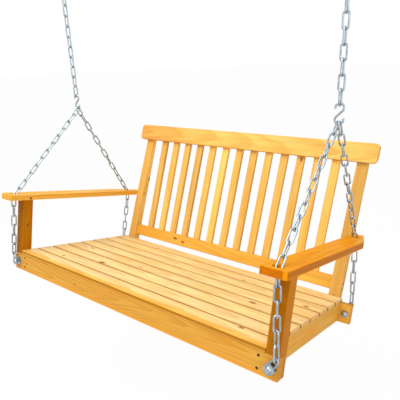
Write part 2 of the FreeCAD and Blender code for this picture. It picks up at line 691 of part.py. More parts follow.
def seat_nodes():
    """Every node that moves with the seat, in the seat's own square frame, with its density."""
    nodes = {"front_rail": front_rail(), "rear_rail": rear_rail(), "centre_bearer": centre_bearer()}
    for name, side in SIDES:
        nodes["side_rail_" + name] = side_rail(side)
        nodes["arm_post_" + name] = arm_post(side)
        nodes["arm_" + name] = arm(side)
        nodes["back_stile_" + name] = back_stile(side)
    for index in range(SEAT_SLAT_COUNT):
        nodes["seat_slat_%d" % (index + 1)] = seat_slat(index)
    nodes["lower_back_rail"] = lower_back_rail()
    nodes["top_back_rail"] = top_back_rail()
    for index in range(BACK_SLAT_COUNT):
        nodes["back_slat_%02d" % (index + 1)] = back_slat(index)
    wood = {name: (shape, WOOD_DENSITY) for name, shape in nodes.items()}
    return {**wood, **{name: (shape, STEEL_DENSITY) for name, shape in seat_hardware().items()}}


def seat_hardware():
    """Metal nodes that move with the seat."""
    washers, nuts = bolt_stacks()
    clamp_front = -(standoff + clamp_room / 2)
    clamp_rear = SEAT_DEPTH + standoff + clamp_room / 2
    rail_places = rail_screw_places(0, Y_AXIS) + rail_screw_places(SEAT_DEPTH, -Y_AXIS)
    arm_places = both_sides(arm_pin_screw()) + both_sides(arm_stile_screw())
    back_places = stile_foot_screws() + stile_top_screws() + lower_rail_screws()
    nodes = {"chain_bolts": chain_bolts(), "chain_bolt_washers": Part.makeCompound(washers),
             "chain_bolt_nuts": Part.makeCompound(nuts), "rail_screws": screws(rail_places),
             "arm_screws": screws(arm_places), "back_frame_screws": screws(back_places),
             "back_slat_screws": screws(back_slat_screws())}
    for name, side in SIDES:
        nodes["front_chain_" + name] = lower_chain(side, clamp_front, FRONT_LINK_LEAN, front_hole, -1)
        nodes["rear_chain_" + name] = lower_chain(side, clamp_rear, REAR_LINK_LEAN, rear_hole, 1)
    return nodes


def hang_angle(nodes):
    """Angle by which the seat tips back, so that its weight hangs below the S-hooks."""
    mass = 0.0
    moment = Vector(0, 0, 0)
    for shape, density in nodes.values():
        for solid in shape.Solids:
            mass += solid.Volume * density
            moment += solid.CenterOfMass * (solid.Volume * density)
    middle = moment * (1 / mass)
    point = hook_point()
    print("seat mass %.2f kg, centre of mass y %.1f z %.1f" % (mass, middle.y, middle.z))
    return math.degrees(math.atan((middle.y - point.y) / (point.z - middle.z)))


def save(name, shape):
    """Writes one node."""
    shape.exportStep("parts/%s.step" % name)


def main():
    """Builds every node and writes it."""
    os.makedirs("parts", exist_ok=True)
    nodes = seat_nodes()
    angle = hang_angle(nodes)
    top, top_link_foot, foot, s_hook_low = upper_chain_points()
    turned = Rotation(X_AXIS, -angle)
    drop = Vector(0, 0, s_hook_low) - turned.multVec(Vector(0, HOOK_POINT_BACK, HOOK_POINT_HEIGHT))
    for name, (shape, _) in nodes.items():
        shape.Placement = FreeCAD.Placement(drop, turned).multiply(shape.Placement)
        save(name, shape)
    for name, side in SIDES:
        line = Vector(side * chain_line, 0, 0)
        hook = s_hook()
        hook.translate(line + Z_AXIS * s_hook_low)
        save("s_hook_" + name, hook)
        first = chain_run(line + Z_AXIS * top, line + Z_AXIS * top_link_foot, 1, 90, 90)
        save("top_link_" + name, Part.makeCompound(first))
        rest = chain_run(line + Z_AXIS * top_link_foot, line + Z_AXIS * foot, UPPER_CHAIN_LINKS - 1, 0, 90)
        save("hanger_chain_" + name, Part.makeCompound(rest))
        fixing = ceiling_hook()
        fixing.translate(line)
        save("ceiling_hook_" + name, fixing)
    print("hang angle %.3f" % angle)
    print("hook line x %.3f" % chain_line)
    print("swing hinge z %.3f" % ceiling_hook_low())
    print("sway hinge z %.3f" % (top_link_foot - link_step / 2))
    print("s-hook hinge z %.3f" % (foot - link_step / 2))
    print("seat hinge z %.3f" % s_hook_low)
    print("seat origin y %.3f z %.3f" % (drop.y, drop.z))


main()
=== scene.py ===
import math
from collections import namedtuple

import bmesh
import bpy
from bpy.props import FloatProperty, FloatVectorProperty, PointerProperty
from mathutils import Matrix, Vector


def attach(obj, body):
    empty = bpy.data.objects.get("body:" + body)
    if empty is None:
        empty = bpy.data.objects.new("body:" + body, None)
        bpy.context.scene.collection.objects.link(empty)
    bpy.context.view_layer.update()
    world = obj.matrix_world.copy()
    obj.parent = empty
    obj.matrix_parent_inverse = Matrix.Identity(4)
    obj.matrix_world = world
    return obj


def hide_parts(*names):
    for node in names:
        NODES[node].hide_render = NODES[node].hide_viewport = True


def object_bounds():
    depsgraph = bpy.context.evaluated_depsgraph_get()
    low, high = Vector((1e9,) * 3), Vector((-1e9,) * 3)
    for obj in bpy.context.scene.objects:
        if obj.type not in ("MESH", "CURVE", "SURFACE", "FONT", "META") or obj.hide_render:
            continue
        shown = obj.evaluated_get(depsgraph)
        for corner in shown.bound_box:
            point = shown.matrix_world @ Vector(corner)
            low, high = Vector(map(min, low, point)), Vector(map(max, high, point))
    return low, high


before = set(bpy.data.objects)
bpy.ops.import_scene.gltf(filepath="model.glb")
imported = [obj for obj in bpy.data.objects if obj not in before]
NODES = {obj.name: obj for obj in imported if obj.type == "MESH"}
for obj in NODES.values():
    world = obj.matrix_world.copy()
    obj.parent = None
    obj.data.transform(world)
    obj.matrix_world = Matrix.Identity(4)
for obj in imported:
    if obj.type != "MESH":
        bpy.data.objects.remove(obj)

bl_info = {
    "name": "Porch swing seat",
    "version": (1, 0, 0),
    "blender": (4, 5, 0),
    "location": "View3D > Sidebar > Porch swing",
    "description": "Dresses the porch swing seat in pine boards and zinc plated chain",
    "category": "Object",
}

CAD_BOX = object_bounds()
SIDES = ("left", "right")
SEAT_SLATS = ["seat_slat_%d" % number for number in range(1, 9)]
BACK_SLATS = ["back_slat_%02d" % number for number in range(1, 14)]

# Knots of the boards: place along and across a board from its middle, and radius, in metres
KNOTS = {
    "seat_slat_1": [(0.416, 0.022, 0.0055)],
    "seat_slat_2": [(-0.379, -0.014, 0.0050)],
    "seat_slat_3": [(-0.232, -0.022, 0.0085)],
    "seat_slat_4": [(-0.409, 0.011, 0.0050), (-0.115, -0.015, 0.0040), (0.341, 0.008, 0.0070)],
    "seat_slat_6": [(0.467, -0.017, 0.0060)],
    "seat_slat_7": [(0.203, -0.022, 0.0045)],
    "seat_slat_8": [(-0.268, -0.021, 0.0040)],
    "front_rail": [(-0.487, -0.002, 0.0035), (-0.206, -0.003, 0.0028), (-0.054, -0.013, 0.0018)],
    "rear_rail": [(0.120, 0.000, 0.0060)],
    "arm_post_left": [(0.030, 0.000, 0.0050)],
    "back_stile_left": [(0.060, 0.000, 0.0060)],
    "back_slat_11": [(0.165, 0.004, 0.0055)],
    "lower_back_rail": [(-0.235, 0.004, 0.0060), (-0.190, -0.004, 0.0050)],
}

# How light each board is against its colour
SEAT_SLAT_SHADES = (1.0, 0.97, 1.02, 0.96, 1.0, 0.95, 1.01, 0.98)
BACK_SLAT_SHADES = (0.88, 1.06, 0.96, 0.88, 1.06, 1.16, 0.99, 0.90, 1.0, 0.92, 0.89, 1.02, 1.08)
STILE_SHADES = {"left": 1.06, "right": 0.90}

# A band along a board's edge or end with its colour changed, most of them painted shade or painted highlight as
# each band notes: what its colour is multiplied with, how much of it shows, and how far it reaches
ColourBand = namedtuple("ColourBand", "tint share reach")
# Painted shade in the gaps between the seat slats, along their front and rear edges
SLAT_SHADOW = ColourBand((0.56, 0.36, 0.17), 0.75, 0.0046)
SLAT_REAR_EDGE_SHADE = ColourBand((0.70, 0.50, 0.30), 0.50, 0.003)
# Darker orange on the first slat's front nose: partly painted shade on its front face, partly a varnish run
FIRST_SLAT_NOSE_SHADE_AND_VARNISH = ColourBand((0.95, 0.70, 0.22), 0.90, 0.034)
# Painted highlight along the front rail's lower rounded edge
FRONT_RAIL_FOOT_HIGHLIGHT = ColourBand((1.18, 0.98, 0.55), 0.90, 0.015)
# Painted shadow along the front rail's top, under the overhanging first slat
FRONT_RAIL_HEAD_SHADOW = ColourBand((0.50, 0.33, 0.18), 0.95, 0.0045)
# The top rail grows darker towards its left end
TOP_RAIL_START = ColourBand((0.97, 0.72, 0.62), 0.90, 0.45)
# Painted shade on the right arm's outer side and the top near it
RIGHT_ARM_OUTSIDE_SHADE = ColourBand((0.86, 0.80, 0.72), 1.00, 0.003)

# What a board's colour is multiplied with: a painted highlight, partly worn varnish, on its long edges; painted
# shade on its sides; end grain that takes more stain at its ends
EDGE_HIGHLIGHT_SHADE_AND_STAIN = (("Arris", (1.12, 1.10, 1.02, 1)), ("Side", (0.50, 0.37, 0.18, 1)), ("End", (0.66, 0.46, 0.26, 1)))

# Front rail's colour against the honey pine
FRONT_RAIL_TONE = (1.0, 0.93, 0.90)

# Gloss of the varnish, and of the zinc on chains and on bolts
PINE_SPECULAR = 0.05
CHAIN_ROUGHNESS = 0.20
BOLT_ROUGHNESS = 0.14

# Limits for picking faces and edges
FACING = 0.7
ALONG = 0.9
ACROSS = 0.5
NEAR_FACE = 0.001
SAME_PLACE = 1e-6
FLAT_ANGLE = math.radians(0.5)
SHARP_ANGLE = math.radians(50)

# Short lengths that a slat is cut into, and its waves to the side and down
SLAT_LENGTHS = 12
SIDE_WAVE = 5.1
DOWN_WAVE = 3.3
DOWN_SHIFT = 1.7

# Stage
FLOOR_HALF = 40.0
FLOOR_COLOUR = (0.95, 0.95, 0.95, 1)
FLOOR_WHITE = 0.96
LIT_POINT = (0, 0.27, 0.2)
KEY_LAMP_PLACE, KEY_LAMP_SIZE = (-0.4, -1.2, 2.4), 2.2
FILL_LAMP_PLACE, FILL_LAMP_SIZE = (2.6, -1.4, 0.7), 1.8
SENSOR_WIDTH = 36.0


# Places, read from the frame

def lean(node, towards):
    """Turn about X that a node's broad face has from the direction it would look to if it stood square."""
    areas = {}
    for polygon in NODES[node].data.polygons:
        normal = polygon.normal
        if normal.dot(towards) > FACING:
            turn = round(math.atan2(towards.cross(normal).x, towards.dot(normal)), 4)
            areas[turn] = areas.get(turn, 0.0) + polygon.area
    return max(areas, key=areas.get)


def square_frame(turn, node):
    """Frame turned about X, with its origin at a node's low front edge."""
    turned = Matrix.Rotation(turn, 4, "X")
    points = [turned.inverted() @ vertex.co for vertex in NODES[node].data.vertices]
    low = Vector((0, min(point.y for point in points), min(point.z for point in points)))
    return turned @ Matrix.Translation(low)


def span(node, place):
    """Lowest and highest corner of a node in a frame."""
    points = [place.inverted() @ vertex.co for vertex in NODES[node].data.vertices]
    return [Vector([pick(point[axis] for point in points) for axis in range(3)]) for pick in (min, max)]


SEAT = square_frame(lean("front_rail", Vector((0, -1, 0))), "front_rail")
BACK = square_frame(lean("top_back_rail", Vector((0, -1, 0))), "lower_back_rail")


def board_frame(node, place, grain):
    """Frame in the middle of a board and the board's size: X along the grain, Y across it, Z through it."""
    low, high = span(node, place)
    size = high - low
    along = "XYZ".index(grain)
    wide, thin = sorted((axis for axis in range(3) if axis != along), key=lambda axis: -size[axis])
    axes = [Vector([float(axis == pick) for axis in range(3)]) for pick in (along, wide, thin)]
    if axes[0].cross(axes[1]).dot(axes[2]) < 0:
        axes[2] = -axes[2]
    turned = Matrix(axes).transposed().to_4x4()
    return place @ Matrix.Translation((low + high) / 2) @ turned, Vector((size[along], size[wide], size[thin]))


# Settings that a user would change

class SwingWood(bpy.types.PropertyGroup):
    """Colours and figure of the pine boards."""
    pale: FloatVectorProperty(name="Pale pine", description="Colour of the seat slats", subtype="COLOR",
                              default=(0.955, 0.71, 0.32), min=0, max=1)
    straw: FloatVectorProperty(name="Straw pine", description="Colour of the back slats, stiles and top rail",
                               subtype="COLOR", default=(0.89, 0.535, 0.135), min=0, max=1)
    honey: FloatVectorProperty(name="Honey pine", description="Colour of the other rails and the left arm",
                               subtype="COLOR", default=(0.88, 0.48, 0.078), min=0, max=1)
    amber: FloatVectorProperty(name="Amber pine", description="Colour of the right arm", subtype="COLOR",
                               default=(0.84, 0.335, 0.004), min=0, max=1)
    umber: FloatVectorProperty(name="Umber pine", description="Colour of the posts", subtype="COLOR",
                               default=(0.60, 0.235, 0.004), min=0, max=1)
    knot: FloatVectorProperty(name="Knot", description="Colour of the knots", subtype="COLOR",
                              default=(0.27, 0.075, 0.015), min=0, max=1)
    ring_gap: FloatProperty(name="Ring gap", description="Width of a growth ring", unit="LENGTH",
                            default=0.0065, min=0.001, max=0.05)
    ring_strength: FloatProperty(name="Ring strength", description="How dark the late wood is",
                                 default=0.42, min=0, max=1)


class SwingMetal(bpy.types.PropertyGroup):
    """Colours of the metal parts."""
    zinc: FloatVectorProperty(name="Zinc", description="Colour of the chain, hooks and bolts", subtype="COLOR",
                              default=(0.43, 0.49, 0.53), min=0, max=1)
    screw: FloatVectorProperty(name="Screws", description="Colour of the wood screws", subtype="COLOR",
                               default=(0.035, 0.028, 0.025), min=0, max=1)


class SwingShape(bpy.types.PropertyGroup):
    """Softened edges."""
    slat_round: FloatProperty(name="Slat edges", description="Rounding of the seat slats' top edges",
                              unit="LENGTH", default=0.0038, min=0, max=0.006)
    nose_round: FloatProperty(name="Front edge", description="Rounding of the first slat's front edge",
                              unit="LENGTH", default=0.0040, min=0, max=0.010)
    board_round: FloatProperty(name="Board edges", description="Rounding of the other boards' edges",
                               unit="LENGTH", default=0.0018, min=0, max=0.005)
    corner: FloatProperty(name="Top rail corners", description="Rounding of the top rail's corners",
                          unit="LENGTH", default=0.014, min=0, max=0.03)
    bow: FloatProperty(name="Bow", description="How far a planed board wanders along its length",
                       unit="LENGTH", default=0.0004, min=0, max=0.002)


class SwingView(bpy.types.PropertyGroup):
    """Camera and lamps."""
    place: FloatVectorProperty(name="Camera", description="Place of the camera", subtype="TRANSLATION",
                               unit="LENGTH", default=(0.94879, -1.12509, -0.44106))
    azimuth: FloatProperty(name="Azimuth", description="Direction of view about the seat", subtype="ANGLE",
                           default=math.radians(38.351))
    elevation: FloatProperty(name="Elevation", description="How far the camera looks down", subtype="ANGLE",
                             default=math.radians(20.345))
    roll: FloatProperty(name="Roll", description="Turn of the camera about its own line", subtype="ANGLE",
                        default=math.radians(-2.325))
    lens: FloatProperty(name="Lens", description="Focal length in millimetres", default=39.869, min=10, max=200)
    shift: FloatVectorProperty(name="Shift", description="Lens shift, as a share of the frame", size=2,
                               default=(0.00246, 0.04895))
    key_power: FloatProperty(name="Key lamp", description="Power of the large lamp", unit="POWER",
                             default=60.0, min=0)
    fill_power: FloatProperty(name="Fill lamp", description="Power of the lamp at the side", unit="POWER",
                              default=18.0, min=0)
    sky: FloatProperty(name="Sky", description="Strength of the plain world light", default=0.62, min=0, max=2)
    floor_drop: FloatProperty(name="Floor", description="How far the floor is below the seat", unit="LENGTH",
                              default=0.42, min=0.05, max=2)


class SwingSettings(bpy.types.PropertyGroup):
    """All settings of the porch swing seat."""
    wood: PointerProperty(type=SwingWood)
    metal: PointerProperty(type=SwingMetal)
    shape: PointerProperty(type=SwingShape)
    view: PointerProperty(type=SwingView)


# Node trees

class Weaver:
    """Puts nodes into a tree and links them."""

    def __init__(self, tree):
        self.tree = tree

    def link(self, value, socket):
        """Feeds a socket from another node's."""
        self.tree.links.new(value, socket)

    def add(self, kind, sockets=(), **settings):
        """A node with its settings, and its inputs linked or set."""
        node = self.tree.nodes.new(kind)
        for name, value in settings.items():
            setattr(node, name, value)
        for key, value in dict(sockets).items():
            if isinstance(value, bpy.types.NodeSocket):
                self.link(value, node.inputs[key])
            else:
                node.inputs[key].default_value = value
        return node

    def math(self, operation, *values):
        """Result of a Math node."""
        return self.add("ShaderNodeMath", enumerate(values), operation=operation).outputs[0]

    def plus(self, first, second):
        """Sum of two values."""
        return self.math("ADD", first, second)

    def minus(self, first, second):
        """Difference of two values."""
        return self.math("SUBTRACT", first, second)

    def times(self, first, second):
        """Product of two values."""
        return self.math("MULTIPLY", first, second)

    def vector(self, operation, *values):
        """Result of a Vector Math node."""
        node = self.add("ShaderNodeVectorMath", enumerate(values), operation=operation)
        return node.outputs["Value" if operation == "LENGTH" else "Vector"]

    def parts(self, vector):
        """The three parts of a vector."""
        return self.add("ShaderNodeSeparateXYZ", {0: vector}).outputs

    def noise(self, place, stretch, detail=2.0, roughness=0.5):
        """Value of a noise that is stretched along the axes, about 0.5 in the middle."""
        stretched = self.vector("MULTIPLY", place, stretch)
        node = self.add("ShaderNodeTexNoise", {"Vector": stretched, "Scale": 1.0, "Detail": detail,
                                               "Roughness": roughness})
        return node.outputs[0]

    def between(self, value, low, high, start=0.0, end=1.0, smooth=True):
        """A value's way from low to high, mapped from start to end."""
        node = self.add("ShaderNodeMapRange", {0: value, 1: low, 2: high, 3: start, 4: end},
                        interpolation_type="SMOOTHSTEP" if smooth else "LINEAR")
        return node.outputs[0]

    def blend(self, share, first, second, mode="MIX"):
        """Two colours blended."""
        node = self.add("ShaderNodeMix", {0: share, 6: first, 7: second}, data_type="RGBA", blend_type=mode)
        return node.outputs[2]

    def eye(self):
        """Mask of the rays by which the camera, gloss and glass see a surface."""
        seen = self.add("ShaderNodeLightPath").outputs
        return self.math("MAXIMUM", seen["Is Camera Ray"],
                         self.math("MAXIMUM", seen["Is Glossy Ray"], seen["Is Transmission Ray"]))


def new_group(name, inputs, outputs):
    """Node group with named sockets, and its weaver, inputs and outputs."""
    tree = bpy.data.node_groups.new(name, "ShaderNodeTree")
    for label, (kind, value) in inputs.items():
        socket = tree.interface.new_socket(label, in_out="INPUT", socket_type="NodeSocket" + kind)
        if value is not None:
            socket.default_value = value
    for label, kind in outputs.items():
        tree.interface.new_socket(label, in_out="OUTPUT", socket_type="NodeSocket" + kind)
    return tree, Weaver(tree), tree.nodes.new("NodeGroupInput").outputs, tree.nodes.new("NodeGroupOutput").inputs


def knot_group():
    """A knot in a board: its mask, and how far it pushes the growth rings."""
    tree, web, given, out = new_group(
        "Pine knot", {"Board": ("Vector", None), "Place": ("Vector", None), "Radius": ("Float", 0.006)},
        {"Mask": "Float", "Push": "Float"})
    # Longer along the grain than across it, and running deep into the board
    reach = web.vector("SUBTRACT", given["Board"], given["Place"])
    reach = web.vector("MULTIPLY", reach, (0.55, 1.0, 0.12))
    distance = web.math("DIVIDE", web.vector("LENGTH", reach), given["Radius"])
    ragged = web.minus(web.noise(given["Board"], (240, 240, 90)), 0.5)
    distance = web.plus(distance, web.times(ragged, 0.7))
    web.link(web.between(distance, 1.35, 0.45), out["Mask"])
    # The rings give way around the knot, less and less with the distance
    halo = web.math("DIVIDE", 1.0, web.plus(1.0, web.math("POWER", web.math("MAXIMUM", distance, 0.0), 2.0)))
    web.link(web.times(halo, web.times(given["Radius"], 1.6)), out["Push"])
    return tree


def pine_group():
    """Pine with its growth rings, fibres and patches, as colour, roughness and height."""
    tree, web, given, out = new_group(
        "Pine figure",
        {"Board": ("Vector", None), "Seed": ("Float", 0.0), "Base": ("Color", (0.8, 0.5, 0.2, 1)),
         "Knot Colour": ("Color", (0.1, 0.05, 0.02, 1)), "Ring Gap": ("Float", 0.0065),
         "Ring Strength": ("Float", 0.4), "Patches": ("Float", 0.5), "Pith Depth": ("Float", 0.05),
         "Knot Mask": ("Float", 0.0), "Knot Push": ("Float", 0.0)},
        {"Color": "Color", "Roughness": "Float", "Height": "Float"})
    # The seed takes each board to its own part of the noise
    seed = web.add("ShaderNodeCombineXYZ",
                   {axis: web.times(given["Seed"], share) for axis, share in enumerate((7.31, 3.17, 1.93))})
    place = web.vector("ADD", given["Board"], seed.outputs[0])
    # Rings around a pith that runs below the board, a little askew and wandering
    wander = web.minus(web.noise(place, (1.6, 9, 9), 1.0), 0.5)
    ripple = web.minus(web.noise(place, (7, 45, 45)), 0.5)
    along, across, deep = web.parts(given["Board"])
    side = web.plus(across, web.times(wander, 0.09))
    deep = web.plus(deep, given["Pith Depth"])
    deep = web.plus(deep, web.times(along, 0.03))
    radius = web.math("SQRT", web.plus(web.times(side, side), web.times(deep, deep)))
    radius = web.plus(radius, web.times(ripple, 0.004))
    radius = web.plus(radius, given["Knot Push"])
    turn = web.math("FRACT", web.math("DIVIDE", radius, given["Ring Gap"]))
    late = web.times(web.between(turn, 0.25, 0.88), web.between(turn, 1.0, 0.93))
    # Streaks, fibres, patches and pores
    streak = web.minus(web.noise(place, (2.2, 70, 70)), 0.5)
    fibre = web.minus(web.noise(place, (14, 650, 650), 3.0, 0.6), 0.5)
    patch = web.noise(place, (4.5, 13, 13))
    pores = web.between(web.noise(place, (30, 900, 900), 1.0), 0.66, 0.74)
    # Colour: late wood and patches first, then light and dark, and the knots last
    deeper = web.blend(1.0, given["Base"], (0.80, 0.56, 0.30, 1), "MULTIPLY")
    colour = web.blend(web.times(late, given["Ring Strength"]), given["Base"], deeper)
    warm = web.blend(1.0, given["Base"], (0.97, 0.80, 0.56, 1), "MULTIPLY")
    colour = web.blend(web.times(web.between(patch, 0.42, 0.72), given["Patches"]), colour, warm)
    light = web.plus(1.0, web.times(streak, 0.42))
    light = web.plus(light, web.times(fibre, 0.22))
    light = web.minus(light, web.times(pores, 0.16))
    grey = web.add("ShaderNodeCombineColor", {0: light, 1: light, 2: light}).outputs[0]
    colour = web.blend(1.0, colour, grey, "MULTIPLY")
    colour = web.blend(web.between(given["Knot Push"], 0.0015, 0.010, 0.0, 0.45), colour, deeper)
    colour = web.blend(web.times(given["Knot Mask"], 0.88), colour, given["Knot Colour"])
    web.link(colour, out["Color"])
    rough = web.plus(0.40, web.times(late, 0.10))
    rough = web.plus(rough, web.times(web.math("ABSOLUTE", fibre), 0.5))
    web.link(web.math("MINIMUM", rough, 0.75), out["Roughness"])
    high = web.plus(web.times(late, 0.5), web.times(fibre, 0.9))
    high = web.minus(high, web.times(pores, 0.5))
    web.link(web.plus(high, web.times(given["Knot Mask"], 0.4)), out["Height"])
    return tree


def edge_group():
    """Masks of a board's long edges, sides and ends, and of bands at its low edge, high edge and start."""
    tree, web, given, out = new_group(
        "Board edges", {"Board": ("Vector", None), "Half": ("Vector", None), "Low Reach": ("Float", 0.01),
                        "High Reach": ("Float", 0.003), "Start Reach": ("Float", 0.3)},
        {"Arris": "Float", "Side": "Float", "End": "Float", "Low": "Float", "High": "Float", "Start": "Float"})
    board = web.parts(given["Board"])
    half = web.parts(given["Half"])
    # How far a point is from the ends, the sides and the broad faces
    room = web.vector("SUBTRACT", given["Half"], web.vector("ABSOLUTE", given["Board"]))
    along, across, deep = web.parts(room)
    ragged = web.times(web.minus(web.noise(given["Board"], (25, 120, 120)), 0.5), 0.002)
    arris = web.times(web.between(web.plus(across, ragged), 0.0035, 0.0003),
                      web.between(web.plus(deep, ragged), 0.0035, 0.0003))
    web.link(arris, out["Arris"])
    web.link(web.times(web.between(across, 0.0030, 0.0006), web.between(deep, 0.0004, 0.0030)), out["Side"])
    web.link(web.between(along, 0.0013, 0.0003), out["End"])
    from_low = web.plus(web.plus(half[1], board[1]), web.times(ragged, 2.0))
    web.link(web.between(from_low, given["Low Reach"], web.times(given["Low Reach"], 0.15)), out["Low"])
    from_high = web.plus(web.minus(half[1], board[1]), web.times(ragged, 0.5))
    web.link(web.between(from_high, given["High Reach"], 0.0), out["High"])
    web.link(web.between(web.plus(half[0], board[0]), given["Start Reach"], 0.0), out["Start"])
    return tree


def zinc_group():
    """Zinc plating: cloudy patches, small marks and dull spots, as colour, roughness and height."""
    tree, web, given, out = new_group(
        "Zinc plating", {"Place": ("Vector", None), "Base": ("Color", (0.6, 0.65, 0.7, 1)),
                         "Gloss": ("Float", 0.25)},
        {"Color": "Color", "Roughness": "Float", "Height": "Float"})
    cloud = web.noise(given["Place"], (70, 70, 70))
    mark = web.noise(given["Place"], (500, 500, 500))
    spot = web.between(web.noise(given["Place"], (260, 260, 260), 1.0), 0.62, 0.74)
    dull = web.blend(1.0, given["Base"], (0.72, 0.75, 0.78, 1), "MULTIPLY")
    colour = web.blend(web.between(cloud, 0.38, 0.66), given["Base"], dull)
    web.link(web.blend(web.times(spot, 0.2), colour, dull), out["Color"])
    rough = web.plus(given["Gloss"], web.times(cloud, 0.12))
    web.link(web.plus(rough, web.times(spot, 0.15)), out["Roughness"])
    web.link(web.plus(web.times(mark, 0.6), cloud), out["Height"])
    return tree


def group_named(name, maker):
    """The node group of a name, made when it is first asked for."""
    return bpy.data.node_groups.get(name) or maker()


def new_material(name):
    """Empty material, its weaver and its surface shader."""
    material = bpy.data.materials.new(name)
    material.use_nodes = True
    return material, Weaver(material.node_tree), material.node_tree.nodes["Principled BSDF"]


def add_knots(web, board, knots):
    """Mask of a board's knots, and how far they push its rings."""
    mask = push = None
    for along, across, radius in knots:
        knot = web.add("ShaderNodeGroup", node_tree=group_named("Pine knot", knot_group))
        web.link(board, knot.inputs["Board"])
        knot.inputs["Place"].default_value = (along, across, 0)
        knot.inputs["Radius"].default_value = radius
        mask = web.math("MAXIMUM", mask, knot.outputs["Mask"]) if mask else knot.outputs["Mask"]
        push = web.plus(push, knot.outputs["Push"]) if push else knot.outputs["Push"]
    return mask, push


def pine(name, node, place, grain, colour, seed, shade=1.0, patches=0.5, rings=1.0, pith=0.05,
         edges=(0.2, 0.35, 0.45), low=None, high=None, start=None):
    """Pine material for the board of a node, its figure laid along the board's grain.

    Shade is how light the board is, patches how much its varnish varies, rings the width of its growth rings
    and pith how deep below it their middle lies. Edges are how strong the painted highlight on its long edges,
    the painted shade on its sides and its darker end grain show.
    Low, high and start are the colour bands along its low and high edge and at its first end, most of them
    painted shade or painted highlight.
    """
    wood = bpy.context.scene.swing.wood
    material, web, surface = new_material(name)
    laid, size = board_frame(node, place, grain)
    into = laid.inverted()
    here = web.add("ShaderNodeTexCoord").outputs["Object"]
    board = web.add("ShaderNodeMapping", {"Vector": here, "Location": into.to_translation(),
                                          "Rotation": into.to_euler("XYZ")}).outputs[0]
    mask, push = add_knots(web, board, KNOTS.get(node, ()))
    figure = web.add("ShaderNodeGroup", node_tree=group_named("Pine figure", pine_group))
    settings = {"Seed": seed, "Base": tuple(part * shade for part in colour) + (1,),
                "Knot Colour": tuple(wood.knot) + (1,), "Ring Gap": wood.ring_gap * rings,
                "Ring Strength": wood.ring_strength, "Patches": patches, "Pith Depth": pith}
    for label, value in settings.items():
        figure.inputs[label].default_value = value
    web.link(board, figure.inputs["Board"])
    if mask:
        web.link(mask, figure.inputs["Knot Mask"])
        web.link(push, figure.inputs["Knot Push"])
    masks = web.add("ShaderNodeGroup", {0: board, 1: size / 2}, node_tree=group_named("Board edges", edge_group))
    base = figure.outputs["Color"]
    # Bands of painted shade and painted highlight along the edges, and the top rail's darker start
    for label, band in (("Low", low), ("High", high), ("Start", start)):
        if band:
            masks.inputs[label + " Reach"].default_value = band.reach
            banded = web.blend(1.0, base, band.tint + (1,), "MULTIPLY")
            base = web.blend(web.times(masks.outputs[label], band.share), base, banded)
    # Painted highlight on the long edges, painted shade on the sides and darker end grain at the ends
    for (label, tint), strength in zip(EDGE_HIGHLIGHT_SHADE_AND_STAIN, edges):
        if strength:
            tinted = web.blend(1.0, base, tint, "MULTIPLY")
            base = web.blend(web.times(masks.outputs[label], strength), base, tinted)
    bump = web.add("ShaderNodeBump", {"Height": figure.outputs["Height"], "Strength": 0.35, "Distance": 0.0003})
    web.link(base, surface.inputs["Base Color"])
    web.link(figure.outputs["Roughness"], surface.inputs["Roughness"])
    web.link(bump.outputs[0], surface.inputs["Normal"])
    surface.inputs["Specular IOR Level"].default_value = PINE_SPECULAR
    return material


def zinc(name, roughness):
    """Zinc plated steel."""
    metal = bpy.context.scene.swing.metal
    material, web, surface = new_material(name)
    here = web.add("ShaderNodeTexCoord").outputs["Object"]
    plating = web.add("ShaderNodeGroup", node_tree=group_named("Zinc plating", zinc_group))
    web.link(here, plating.inputs["Place"])
    plating.inputs["Base"].default_value = tuple(metal.zinc) + (1,)
    plating.inputs["Gloss"].default_value = roughness
    bump = web.add("ShaderNodeBump", {"Height": plating.outputs["Height"], "Strength": 0.03, "Distance": 0.0002})
    web.link(plating.outputs["Color"], surface.inputs["Base Color"])
    web.link(plating.outputs["Roughness"], surface.inputs["Roughness"])
    web.link(bump.outputs[0], surface.inputs["Normal"])
    surface.inputs["Metallic"].default_value = 1.0
    return material


def screw_black():
    """Black phosphated screws, a little worn."""
    metal = bpy.context.scene.swing.metal
    material, web, surface = new_material("screw_black")
    here = web.add("ShaderNodeTexCoord").outputs["Object"]
    worn = web.between(web.noise(here, (700, 700, 700)), 0.55, 0.75)
    colour = web.blend(web.times(worn, 0.4), tuple(metal.screw) + (1,), (0.16, 0.13, 0.11, 1))
    bump = web.add("ShaderNodeBump", {"Height": web.noise(here, (1500, 1500, 1500)), "Strength": 0.2,
                                      "Distance": 0.0001})
    web.link(colour, surface.inputs["Base Color"])
    web.link(web.between(worn, 0.0, 1.0, 0.55, 0.38), surface.inputs["Roughness"])
    web.link(bump.outputs[0], surface.inputs["Normal"])
    surface.inputs["Metallic"].default_value = 0.6
    return material


# Boards

def block(bm, low, high):
    """Block between two corners."""
    made = bmesh.ops.create_cube(bm, size=1.0)["verts"]
    bmesh.ops.scale(bm, vec=high - low, verts=made)
    bmesh.ops.translate(bm, vec=(low + high) / 2, verts=made)


def soften(bm, radius, pick, segments=3):
    """Rounds the edges that the pick accepts, by their middle and their direction."""
    edges = []
    for edge in bm.edges:
        start, end = (vertex.co for vertex in edge.verts)
        if pick((start + end) / 2, (end - start).normalized()):
            edges.append(edge)
    bmesh.ops.bevel(bm, geom=edges, offset=radius, offset_type="OFFSET", affect="EDGES", segments=segments,
                    profile=0.5, material=-1)


